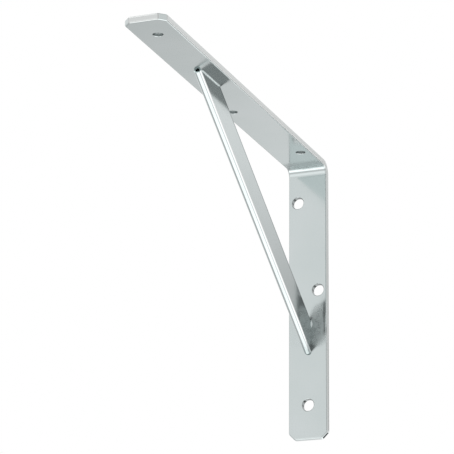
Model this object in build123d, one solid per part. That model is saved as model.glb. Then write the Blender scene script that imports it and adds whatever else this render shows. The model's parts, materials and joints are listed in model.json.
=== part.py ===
"""A braced shelf bracket: one bent steel strip with a folded sheet brace across its corner.

Millimetres. The wall face is the plane Y = 0 and the room is towards -Y. X runs across the strip
from its centre line, Z is up, and Z = 0 is the level of the top wall hole.
"""

from build123d import *
import os

# The bent strip.
strip_width = 28.5
strip_thickness = 4.5
arm_length = 300.0
leg_length = 200.0
bend_inner_radius = 5.5
corner_cut = 4.4
corner_softening = 2.5
edge_radius = 1.2

# The brace: the section of its channel, and where the line of its nose meets the strip.
brace_width = 5.0
brace_depth = 20.5
brace_sheet = 1.2
sheet_edge_radius = 0.25
nose_cut_depth = 2.6
brace_from_arm_end = 83.2
brace_from_foot = 59.0

# The holes, with drops measured down from the shelf face and reaches out from the wall face.
wall_hole_diameter = 8.5
shelf_hole_diameter = 6.5
hole_edge_cut = 0.3
hole_to_brace_gap = 0.65
top_wall_hole_drop = 29.2
middle_wall_hole_drop = 94.0
low_wall_hole_from_foot = 24.2
inner_shelf_hole_reach = 39.5
middle_shelf_hole_reach = 131.5
outer_shelf_hole_from_end = 23.3

shelf_z = top_wall_hole_drop
foot_z = shelf_z - leg_length
arm_under_z = shelf_z - strip_thickness
leg_front_y = -strip_thickness

# The holes beside the brace stand off the centre line, so that a screwdriver passes it.
hole_offset = brace_width / 2 + wall_hole_diameter / 2 + hole_to_brace_gap


def mounting_strip():
    """The flat bar bent to a right angle, with cut corners, rounded edges and punched holes."""
    outline = Polyline(
        (0, foot_z),
        (0, shelf_z),
        (-arm_length, shelf_z),
        (-arm_length, arm_under_z),
        (leg_front_y, arm_under_z),
        (leg_front_y, foot_z),
        close=True,
    )
    profile = make_face(outline)
    profile = fillet(corner_at(profile, 0, shelf_z), bend_inner_radius + strip_thickness)
    profile = fillet(corner_at(profile, leg_front_y, arm_under_z), bend_inner_radius)
    strip = extrude(Plane.YZ * profile, strip_width / 2, both=True)
    strip = chamfer(end_corners(strip), corner_cut)
    strip = fillet(end_corners(strip), corner_softening)
    strip = fillet(strip.edges() - end_corners(strip) - bend_lines(strip), edge_radius)
    for drill, radius in wall_holes() + shelf_holes():
        strip -= drill * Cylinder(radius, 4 * strip_thickness)
    hole_rims = strip.edges().filter_by(GeomType.CIRCLE).filter_by(lambda edge: edge.is_closed)
    return chamfer(hole_rims, hole_edge_cut)


def corner_at(profile, y, z):
    """The corner of a side profile at a place."""
    return profile.vertices().sort_by_distance(Vector(y, z, 0))[0]


def end_corners(strip):
    """The edges through the strip's thickness at its two free ends."""
    arm_end = strip.edges().filter_by(Axis.Z)
    arm_end = arm_end.filter_by(lambda edge: edge.center().Y < -arm_length + 2 * corner_cut)
    foot = strip.edges().filter_by(Axis.Y)
    foot = foot.filter_by(lambda edge: edge.center().Z < foot_z + 2 * corner_cut)
    return arm_end + foot


def bend_lines(strip):
    """The lines across the strip where its flats run into the bend."""
    bend = bend_inner_radius + strip_thickness + edge_radius
    across = strip.edges().filter_by(Axis.X)
    return across.filter_by(lambda edge: edge.center().Y > -bend and edge.center().Z > shelf_z - bend)


def wall_holes():
    """Each wall hole's place on the wall face and its radius."""
    low_wall_hole_drop = leg_length - low_wall_hole_from_foot
    places = (
        (-hole_offset, top_wall_hole_drop),
        (hole_offset, middle_wall_hole_drop),
        (0, low_wall_hole_drop),
    )
    return [(Pos(x, 0, shelf_z - drop) * Rot(90, 0, 0), wall_hole_diameter / 2) for x, drop in places]


def shelf_holes():
    """Each shelf hole's place on the shelf face and its radius."""
    outer_shelf_hole_reach = arm_length - outer_shelf_hole_from_end
    places = (
        (hole_offset, inner_shelf_hole_reach),
        (-hole_offset, middle_shelf_hole_reach),
        (0, outer_shelf_hole_reach),
    )
    return [(Pos(x, -reach, shelf_z), shelf_hole_diameter / 2) for x, reach in places]


def diagonal_brace():
    """The sheet channel, cut on a slant to sit on the strip, with its nose cut square at both ends."""
    arm_seat = Vector(0, -(arm_length - brace_from_arm_end), arm_under_z)
    leg_seat = Vector(0, leg_front_y, shelf_z - (leg_length - brace_from_foot))
    nose_line = arm_seat - leg_seat
    length = nose_line.length
    run = -nose_line.Y
    rise = nose_line.Z
    section_plane = Plane(origin=leg_seat, x_dir=(1, 0, 0), z_dir=nose_line)
    channel = extrude(section_plane * channel_section(), amount=length)
    channel = split(channel, bisect_by=Plane(arm_seat, z_dir=(0, 0, 1)), keep=Keep.BOTTOM)
    channel = split(channel, bisect_by=Plane(leg_seat, z_dir=(0, -1, 0)), keep=Keep.TOP)

    from_here_on = (Align.CENTER, Align.CENTER, Align.MIN)
    square_cut = Box(2 * brace_width, 2 * nose_cut_depth, length, align=from_here_on)
    arm_cut_station = length - nose_cut_depth * run / rise
    leg_cut_station = nose_cut_depth * rise / run
    channel -= section_plane * Pos(0, 0, arm_cut_station) * square_cut
    channel -= section_plane * Pos(0, 0, leg_cut_station - length) * square_cut
    return channel


def channel_section():
    """The brace's section: a sheet folded round its nose, at the origin, with two flat flanges."""
    outer_radius = brace_width / 2
    inner_radius = outer_radius - brace_sheet
    flange = brace_depth - outer_radius
    solid_flanges = Rectangle(brace_width, flange, align=(Align.CENTER, Align.MIN))
    hollow_flanges = Rectangle(2 * inner_radius, 2 * flange, align=(Align.CENTER, Align.MIN))
    section = Pos(0, outer_radius) * (Circle(outer_radius) + solid_flanges)
    section -= Pos(0, outer_radius) * (Circle(inner_radius) + hollow_flanges)
    free_corners = section.vertices().group_by(Axis.Y)[-1]
    return fillet(free_corners, sheet_edge_radius)


pieces = {
    "mounting_strip": mounting_strip(),
    "diagonal_brace": diagonal_brace(),
}

os.makedirs("parts", exist_ok=True)
for name, piece in pieces.items():
    export_step(piece, f"parts/{name}.step")
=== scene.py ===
"""The looks of a braced shelf bracket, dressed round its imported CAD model.

Metres, in the CAD frame: the wall face is the plane Y = 0, the room is towards -Y and Z is up.
"""

import json
import math

import bmesh
import bpy
from mathutils import Matrix, Vector


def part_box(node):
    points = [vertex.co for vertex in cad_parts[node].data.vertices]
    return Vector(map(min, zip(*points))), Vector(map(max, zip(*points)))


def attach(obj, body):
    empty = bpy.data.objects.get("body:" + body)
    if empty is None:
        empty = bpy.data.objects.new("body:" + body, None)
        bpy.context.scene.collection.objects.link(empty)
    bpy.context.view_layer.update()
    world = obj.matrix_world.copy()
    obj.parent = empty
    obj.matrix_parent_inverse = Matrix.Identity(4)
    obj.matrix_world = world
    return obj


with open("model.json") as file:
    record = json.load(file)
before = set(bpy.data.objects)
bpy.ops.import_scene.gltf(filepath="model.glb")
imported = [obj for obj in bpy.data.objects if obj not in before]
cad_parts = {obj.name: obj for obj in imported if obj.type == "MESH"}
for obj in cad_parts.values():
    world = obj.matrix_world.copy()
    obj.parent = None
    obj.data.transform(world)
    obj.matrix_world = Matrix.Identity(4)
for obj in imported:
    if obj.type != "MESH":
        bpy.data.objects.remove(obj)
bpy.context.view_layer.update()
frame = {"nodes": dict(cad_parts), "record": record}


# The camera stands in the room, to the right of the bracket and below it, and looks up at the
# corner under the arm. The lens is long, so that the arm and the leg hardly taper.
camera_place = Vector((0.5820, -1.6325, -0.5640))
camera_azimuth = math.radians(21.55)
camera_elevation = math.radians(-17.51)
camera_roll = math.radians(0.49)

forward = Vector((
    -math.sin(camera_azimuth) * math.cos(camera_elevation),
    math.cos(camera_azimuth) * math.cos(camera_elevation),
    -math.sin(camera_elevation),
))
level_right = Vector((math.cos(camera_azimuth), math.sin(camera_azimuth), 0))
level_up = level_right.cross(forward)
right = level_right * math.cos(camera_roll) + level_up * math.sin(camera_roll)
up = level_up * math.cos(camera_roll) - level_right * math.sin(camera_roll)

camera_data = bpy.data.cameras.new("camera")
camera_data.sensor_width = 36.0
camera_data.lens = 204.53
camera_data.clip_end = 200.0
camera = bpy.data.objects.new("camera", camera_data)
turn = Matrix((right, up, -forward)).transposed().to_4x4()
camera.matrix_world = Matrix.Translation(camera_place) @ turn
bpy.context.scene.collection.objects.link(camera)
bpy.context.scene.camera = camera


# The studio round the bracket: a white backdrop behind it, soft light in front of it, a lit
# table below and a plain grey room elsewhere, with lighter and darker cards hung all round.
# Plain metal shows these as its tones.
class Shade:
    """A value in a node tree. Maths on it adds Math nodes, and node() adds any other node."""

    def __init__(self, tree, socket=None):
        self.tree = tree
        self.socket = socket

    def node(self, kind, settings, inputs, output=0):
        """Adds a node with these settings and inputs, and gives one of its outputs."""
        made = self.tree.nodes.new(kind)
        for name, value in settings.items():
            if name == "stops":
                ramp = made.color_ramp.elements
                while len(ramp) < len(value):
                    ramp.new(1.0)
                for stop, (position, colour) in zip(ramp, value):
                    stop.position = position
                    stop.color = colour
            else:
                setattr(made, name, value)
        for name, value in inputs.items():
            if isinstance(value, Shade):
                self.tree.links.new(value.socket, made.inputs[name])
            else:
                made.inputs[name].default_value = value
        return Shade(self.tree, made.outputs[output] if made.outputs else None)

    def math(self, operation, *values):
        return self.node("ShaderNodeMath", {"operation": operation}, dict(enumerate(values)))

    def __add__(self, other):
        return self.math("ADD", self, other)

    def __sub__(self, other):
        return self.math("SUBTRACT", self, other)

    def __mul__(self, other):
        return self.math("MULTIPLY", self, other)

    def __rsub__(self, other):
        return self.math("SUBTRACT", other, self)

    def __abs__(self):
        return self.math("ABSOLUTE", self)

    __radd__ = __add__
    __rmul__ = __mul__

    def larger(self, other):
        """The larger of two values."""
        return self.math("MAXIMUM", self, other)

    def ramp(self, low, high, out_low=0.0, out_high=1.0):
        """Runs smoothly from out_low, where this value is low, to out_high, where it is high."""
        limits = {"From Min": low, "From Max": high, "To Min": out_low, "To Max": out_high}
        return self.node(
            "ShaderNodeMapRange", {"interpolation_type": "SMOOTHSTEP"}, {"Value": self, **limits}
        )

    def parts(self):
        """The three numbers of a vector."""
        return [self.node("ShaderNodeSeparateXYZ", {}, {"Vector": self}, n) for n in range(3)]

    def length(self):
        """How long a vector is."""
        return self.node("ShaderNodeVectorMath", {"operation": "LENGTH"}, {0: self}, "Value")

    def along(self, direction):
        """How far this place or direction reaches along another one."""
        return self.node(
            "ShaderNodeVectorMath",
            {"operation": "DOT_PRODUCT"},
            {0: self, 1: Vector(direction).normalized()},
            "Value",
        )


def studio_light(looking):
    """How bright the studio is in a direction, where 1 is white."""
    plain_room = 0.84
    table_edge = 0.335
    cards = (
        # towards, full inside this angle, gone outside this angle, brightness
        ((-0.45, -0.88, 0.10), 20, 44, 1.02),  # front, left
        ((-0.34, -0.89, -0.31), 10, 22, 1.27),  # front, left and low
        ((0.80, -0.50, 0.30), 20, 35, 0.94),  # right
        ((0.36, -0.89, 0.245), 5, 10, 0.16),  # front, right and high, dark
        ((-0.32, -0.12, -0.94), 13, 20, 1.85),  # the table, left
        ((0.25, 0.12, -0.96), 25, 32, 1.75),  # the table, right
        ((0.80, 0.52, -0.22), 17, 25, 1.22),  # right, behind
        ((-0.71, 0.35, -0.61), 8, 22, 0.60),  # left and low
        ((-0.90, 0.30, 0.30), 20, 40, 1.0),  # left
        ((-0.28, 0.93, -0.22), 14, 30, 0.97),  # behind
        ((-0.50, 0.70, -0.50), 9, 20, 0.66),  # behind, left and low
        ((-0.34, 0.58, -0.74), 10, 22, 0.62),  # behind, lower
        ((-0.47, 0.88, 0.05), 6, 16, 0.50),  # behind, left
        ((-0.35, 0.20, 0.92), 25, 45, 0.50),  # the ceiling
        ((0.38, 0.90, 0.20), 6, 14, 0.60),  # behind, right and high
        ((-0.01, 0.89, -0.46), 9, 14, 1.6),  # behind and low
        ((0.46, 0.89, -0.05), 8, 14, 1.4),  # behind, right
        ((0.19, 0.93, -0.31), 6, 9, 0.05),  # behind, right and low, dark
        ((0.37, 0.86, -0.37), 6, 9, 0.43),  # beside it, less dark
    )
    light = plain_room
    for towards, full, gone, brightness in cards:
        inside = looking.along(towards)
        inside = inside.ramp(math.cos(math.radians(gone)), math.cos(math.radians(full)))
        light = light + (brightness - light) * inside

    # The backdrop starts above the far edge of the table, and is a little brighter higher up.
    _, y, z = looking.parts()
    behind = y.ramp(0.25, 0.6)
    above_table = z.ramp(table_edge - 0.07, table_edge)
    white = 1.0 + z.ramp(table_edge, table_edge + 0.025) * 0.05
    return light + (white - light) * (behind * above_table)


world = bpy.data.worlds.new("studio")
world.use_nodes = True
world.node_tree.nodes.clear()
bpy.context.scene.world = world
air = Shade(world.node_tree)
looking = air.node("ShaderNodeTexCoord", {}, {}, "Generated")
seen_plainly = air.node("ShaderNodeLightPath", {}, {}, "Is Camera Ray").larger(
    air.node("ShaderNodeLightPath", {}, {}, "Is Transmission Ray")
)
seen_in_metal = air.node("ShaderNodeLightPath", {}, {}, "Is Glossy Ray") * (1 - seen_plainly)
light_on_matt_things = 0.75
strength = (
    seen_plainly
    + seen_in_metal * studio_light(looking)
    + (1 - seen_plainly) * (1 - seen_in_metal) * light_on_matt_things
)
sky = air.node("ShaderNodeBackground", {}, {"Color": (1, 1, 1, 1), "Strength": strength})
air.node("ShaderNodeOutputWorld", {}, {"Surface": sky})

lamp_data = bpy.data.lights.new("overhead_softbox", "AREA")
lamp_data.shape = "SQUARE"
lamp_data.size = 1.4
lamp_data.energy = 9.0
lamp = bpy.data.objects.new("overhead_softbox", lamp_data)
lamp.location = (-1.3, -1.1, 2.0)
lamp.rotation_euler = (-lamp.location).to_track_quat("-Z", "Y").to_euler()
bpy.context.scene.collection.objects.link(lamp)

bpy.context.scene.view_settings.view_transform = "Standard"


# The floor of the room, pale and plain, far below the bracket, which hangs at shelf height. It
# fades into the white backdrop, and the metal shows the lit table in its place.
floor_drop = 1.6
floor_half_width = 40.0
fade_starts = 4.0
fade_ends = 12.0


def new_material(name):
    """An empty material, and the place on its piece, from which its nodes start."""
    material = bpy.data.materials.new(name)
    material.use_nodes = True
    material.node_tree.nodes.clear()
    return material, Shade(material.node_tree).node("ShaderNodeTexCoord", {}, {}, "Object")


def cloudy(place, scale, detail=2.0):
    """Noise from 0 to 1, with this many clouds to the metre."""
    return place.node(
        "ShaderNodeTexNoise", {}, {"Vector": place, "Scale": scale, "Detail": detail}, "Fac"
    )


def tinted(clouds, stops):
    """A colour that follows the clouds, from stops of a value and its colour."""
    return clouds.node("ShaderNodeValToRGB", {"stops": stops}, {"Fac": clouds}, "Color")


floor_sheet = bmesh.new()
bmesh.ops.create_grid(floor_sheet, x_segments=1, y_segments=1, size=floor_half_width)
bmesh.ops.translate(floor_sheet, verts=floor_sheet.verts, vec=(0, 0, -floor_drop))
floor_mesh = bpy.data.meshes.new("floor")
floor_sheet.to_mesh(floor_mesh)
floor_sheet.free()
floor = bpy.data.objects.new("floor", floor_mesh)
bpy.context.scene.collection.objects.link(floor)
floor.visible_glossy = False

floor_paint, place = new_material("pale_floor")
pale = tinted(
    cloudy(place, 60.0),
    [(0.3, (0.925, 0.925, 0.92, 1)), (0.7, (0.94, 0.94, 0.935, 1))],
)
matt = place.node("ShaderNodeBsdfPrincipled", {}, {"Base Color": pale, "Roughness": 0.9})
glow = place.node("ShaderNodeEmission", {}, {"Color": (1, 1, 1, 1), "Strength": 1.0})
far_off = place.length().ramp(fade_starts, fade_ends)
surface = place.node("ShaderNodeMixShader", {}, {0: far_off, 1: matt, 2: glow})
place.node("ShaderNodeOutputMaterial", {}, {"Surface": surface})
floor_mesh.materials.append(floor_paint)


# The strip is flat bar, rolled, punched, bent in a press and then zinc plated as a whole. The
# plating is bright and a little cloudy, the rolling grain shows through it, and painted shade
# darkens the punched holes. The welds left a matt patch on the leg, and darker streaks beside it.
strip = frame["nodes"]["mounting_strip"]
strip_low, strip_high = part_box("mounting_strip")
half_width = strip_high.x
arm_end = strip_low.y
shelf_height = strip_high.z
strip_thickness = 0.0045
arm_under = shelf_height - strip_thickness
leg_front = -strip_thickness
bend_start = -0.010
patch_level = -0.0905
patch_half_length = 0.0085
patch_off_axis = 0.0080
patch_radius = 0.0085
patch_full_radius = 0.0028
streaks_inner_side = 0.0098
streaks_outer_side = 0.0118
micron = 0.000001


def plating_colour(place):
    """Zinc: cool grey, in soft clouds of a slightly warmer and a slightly bluer tint."""
    return tinted(
        cloudy(place, 26.0, 3.0),
        [
            (0.32, (0.550, 0.602, 0.602, 1)),
            (0.52, (0.568, 0.617, 0.616, 1)),
            (0.70, (0.585, 0.630, 0.633, 1)),
        ],
    )


def over(amount, upper, lower):
    """The lower colour, with this much of the upper colour on it."""
    inputs = {0: amount, 6: lower, 7: (*upper, 1)}
    return lower.node("ShaderNodeMix", {"data_type": "RGBA"}, inputs, 2)


def streaks(along, across, depth, length, width):
    """Noise in streaks of about this length and width, in metres."""
    stretched = along.node(
        "ShaderNodeCombineXYZ",
        {},
        {"X": along * (1 / length), "Y": across * (1 / width), "Z": depth * (1 / width)},
    )
    return cloudy(stretched, 1.0)


def between(value, start, full, still_full, end):
    """Rises from 0 at start to 1 at full, and falls from 1 at still_full to 0 at end."""
    return value.ramp(start, full) * value.ramp(end, still_full)


def plated_metal(place, colour, roughness, height):
    """The finished surface: a metal with this roughness and these bumps, in metres."""
    bumps = place.node("ShaderNodeBump", {}, {"Height": height, "Distance": 1.0}, "Normal")
    metal = place.node(
        "ShaderNodeBsdfPrincipled",
        {},
        {"Base Color": colour, "Metallic": 1.0, "Roughness": roughness, "Normal": bumps},
    )
    place.node("ShaderNodeOutputMaterial", {}, {"Surface": metal})


strip_steel, place = new_material("plated_strip_steel")
x, y, z = place.parts()

# The run goes up the leg and out along the arm, and the depth goes through the bar.
on_arm = (z - y).ramp(shelf_height - 0.0005, shelf_height + 0.0005)
run = z + (-1 * y - z) * on_arm
depth = y + (z - y) * on_arm
under_arm = z.ramp(arm_under + 0.0015, arm_under + 0.0010)
on_leg_front = y.ramp(leg_front + 0.0015, leg_front + 0.0010)
cut_side = abs(x).ramp(half_width - 0.0007, half_width - 0.0003)
cut_end = y.ramp(arm_end + 0.0008, arm_end + 0.0003)

# The walls of the holes are rougher and get painted shade, and those of the arm's holes half as
# much.
hole_wall_and_shade = 0
for mount in frame["record"]["mounts"]:
    if mount["kind"] == "bore":
        hole_x, hole_y, hole_z = mount["pos_m"]
        through_leg = abs(mount["axis"][1]) > 0.5
        level = z - hole_z if through_leg else y - hole_y
        from_axis = place.node("ShaderNodeCombineXYZ", {}, {"X": x - hole_x, "Y": level}).length()
        hole_radius = mount["dims"]["r_mm"] / 1000
        painted_darkness = 1.0 if through_leg else 0.5
        wall = from_axis.ramp(hole_radius + 0.0002, hole_radius + 0.00005, 0, painted_darkness)
        hole_wall_and_shade = wall.larger(hole_wall_and_shade)

mottle = cloudy(place, 700.0)
rolling_grain = streaks(run, x, depth, length=0.030, width=0.00035)
shear_marks = streaks(depth, run, x, length=0.004, width=0.00030)

# Pressing the bend has rubbed the underside of the arm matt; painted shade darkens it beside the
# bend.
pressed = under_arm * between(
    y, bend_start - 0.0140, bend_start - 0.0070, bend_start + 0.0012, bend_start + 0.0030
)
crease_shade = under_arm * between(
    y, bend_start - 0.0100, bend_start - 0.0040, bend_start + 0.0022, bend_start + 0.0038
)

# The matt patch from the welding stands on both sides of the brace, and the dark streaks on
# one. The patch fades by the square of the distance from its middle line, made a little uneven.
beside_patch = abs(x) - patch_off_axis
past_patch = (abs(z - patch_level) - patch_half_length).larger(0)
scorch = cloudy(place, 300.0)
uneven = (scorch - 0.5) * 0.00002
from_patch = beside_patch * beside_patch + past_patch * past_patch + uneven
matt_patch = on_leg_front * from_patch.ramp(patch_radius**2, patch_full_radius**2)
above_patch_middle = z - patch_level
dark_streaks = (
    on_leg_front
    * streaks(z, x, y, length=0.012, width=0.0008).ramp(0.42, 0.58)
    * x.ramp(streaks_inner_side, streaks_outer_side)
    * between(above_patch_middle, -0.0090, -0.0045, 0.0105, 0.0185)
)

roughness = (
    0.13
    + (mottle - 0.5) * 0.04
    + (rolling_grain - 0.5) * 0.05
    + matt_patch * (0.16 + (scorch - 0.5) * 0.2)
    + pressed * 0.24
    + cut_side * (0.12 + (shear_marks - 0.5) * 0.04)
    + hole_wall_and_shade * 0.1
)
height = (
    mottle * (0.8 * micron)
    + rolling_grain * (0.6 * micron) * (1 - cut_side)
    + shear_marks * (0.2 * micron) * cut_side.larger(hole_wall_and_shade)
)
colour = plating_colour(place)
# Painted shade in the crease under the arm, beside the bend.
colour = over(crease_shade * 0.3, (0.46, 0.49, 0.49), colour)
# The leg is darker in streaks beside one side of the brace.
colour = over(dark_streaks * 0.75, (0.18, 0.20, 0.20), colour)
colour = over(cut_side * (1 - cut_end) * 0.9, (0.60, 0.615, 0.61), colour)
colour = over(cut_end * 0.9, (0.63, 0.645, 0.64), colour)
# Painted shade on the walls of the holes.
colour = over(hole_wall_and_shade, (0.22, 0.24, 0.24), colour)
plated_metal(place, colour, roughness, height)
strip.data.materials.clear()
strip.data.materials.append(strip_steel)


# The brace is thin sheet, folded along its middle into a narrow channel, and welded in before
# the bracket was plated. Its rolling grain runs along the fold, a painted highlight lightens the
# shoulders of its nose, and its sheared edges are dark.
brace = frame["nodes"]["diagonal_brace"]
arm_seat = Vector((0, -0.2168, arm_under))
leg_seat = Vector((0, leg_front, -0.1118))
fold_line = (arm_seat - leg_seat).normalized()
outward = Vector((0, -fold_line.z, fold_line.y))
nose_radius = 0.0025
nose_depth = arm_seat.dot(outward)
free_edge_depth = nose_depth - 0.0205

brace_steel, place = new_material("plated_brace_steel")
x = place.parts()[0]
run = place.along(fold_line)
depth = place.along(outward)
mottle = cloudy(place, 900.0)
sheet_grain = streaks(run, x, depth, length=0.040, width=0.00030)
roughness = 0.15 + (mottle - 0.5) * 0.04 + (sheet_grain - 0.5) * 0.05
height = mottle * (0.6 * micron) + sheet_grain * (0.5 * micron)
round_starts = nose_depth - nose_radius
on_nose = depth.ramp(round_starts - 0.0002, round_starts + 0.0002)
nose_highlight = on_nose * abs(x).ramp(nose_radius - 0.0008, nose_radius - 0.0005)
sheared_edge = depth.ramp(free_edge_depth + 0.0015, free_edge_depth + 0.0010)
# Painted highlight along the shoulders of the nose.
colour = over(nose_highlight * 0.9, (0.90, 0.91, 0.91), plating_colour(place))
colour = over(sheared_edge * 0.8, (0.25, 0.28, 0.28), colour)
plated_metal(place, colour, roughness, height)
brace.data.materials.clear()
brace.data.materials.append(brace_steel)


# The welds hold the brace's end edges: a low flat run along both sides of its seat under the
# arm, and a short tack at the top of its seat on the leg. They were laid before the plating.
flange_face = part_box("diagonal_brace")[1].x
ripple_length = 0.0008
ripple_swell = 0.06
ripple_turn = 2.1
first_step_size = 0.4
growth_per_step = 0.3


def weld_run(name, section, along, length):
    """A weld on both sides of the brace, drawn out from its section, with frozen ripples."""
    bead = bmesh.new()
    end = bead.faces.new([bead.verts.new(corner) for corner in section])
    root = Vector(section[0])
    steps = round(length / ripple_length)
    size = 1.0
    for n in range(steps + 1):
        if n:
            start = end
            grown = bmesh.ops.extrude_face_region(bead, geom=[start])["geom"]
            end = next(item for item in grown if isinstance(item, bmesh.types.BMFace))
            if n > 1:
                bmesh.ops.delete(bead, geom=[start], context="FACES_ONLY")
            bmesh.ops.translate(bead, verts=end.verts, vec=along * ripple_length)
            root = root + along * ripple_length
        tapered = min(1.0, first_step_size + growth_per_step * min(n, steps - n))
        rippled = tapered * (1 + ripple_swell * math.sin(ripple_turn * n))
        about_root = Matrix.Translation(-root)
        spread = Vector((1, 1, 1)) * (rippled / size)
        bmesh.ops.scale(bead, vec=spread, space=about_root, verts=end.verts)
        size = rippled
    one_side = bead.verts[:] + bead.edges[:] + bead.faces[:]
    bmesh.ops.mirror(bead, geom=one_side, axis="X", merge_dist=0)
    bmesh.ops.recalc_face_normals(bead, faces=bead.faces[:])
    for face in bead.faces:
        face.smooth = True
    mesh = bpy.data.meshes.new(name)
    bead.to_mesh(mesh)
    bead.free()
    mesh.set_sharp_from_angle(angle=math.radians(50))
    mesh.materials.append(weld_steel)
    weld = bpy.data.objects.new(name, mesh)
    bpy.context.scene.collection.objects.link(weld)
    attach(weld, "root")


weld_steel, place = new_material("plated_weld_steel")
spatter = cloudy(place, 900.0, 3.0)
plated_metal(place, plating_colour(place), 0.16 + spatter * 0.12, spatter * (20 * micron))

arm_run_start = Vector((flange_face, -0.2120, arm_under))
arm_section = (
    # across from the flange, below the arm
    (-0.00010, -0.00010),
    (0.00090, -0.00002),
    (0.00045, 0.00017),
    (-0.00003, 0.00042),
)
weld_run(
    "arm_welds",
    [arm_run_start + Vector((across, 0, -below)) for across, below in arm_section],
    Vector((0, 1, 0)),
    length=0.0328,
)

leg_seat_length = 0.0244
tack_overrun = 0.0006
leg_tack_start = Vector((flange_face, leg_front, leg_seat.z + leg_seat_length + tack_overrun))
leg_section = (
    # across from the flange, out from the leg
    (-0.00010, -0.00010),
    (0.00105, -0.00002),
    (0.00080, 0.00045),
    (0.00035, 0.00080),
    (-0.00003, 0.00090),
)
weld_run(
    "leg_tacks",
    [leg_tack_start + Vector((across, -out, 0)) for across, out in leg_section],
    Vector((0, 0, -1)),
    length=0.0048,
)
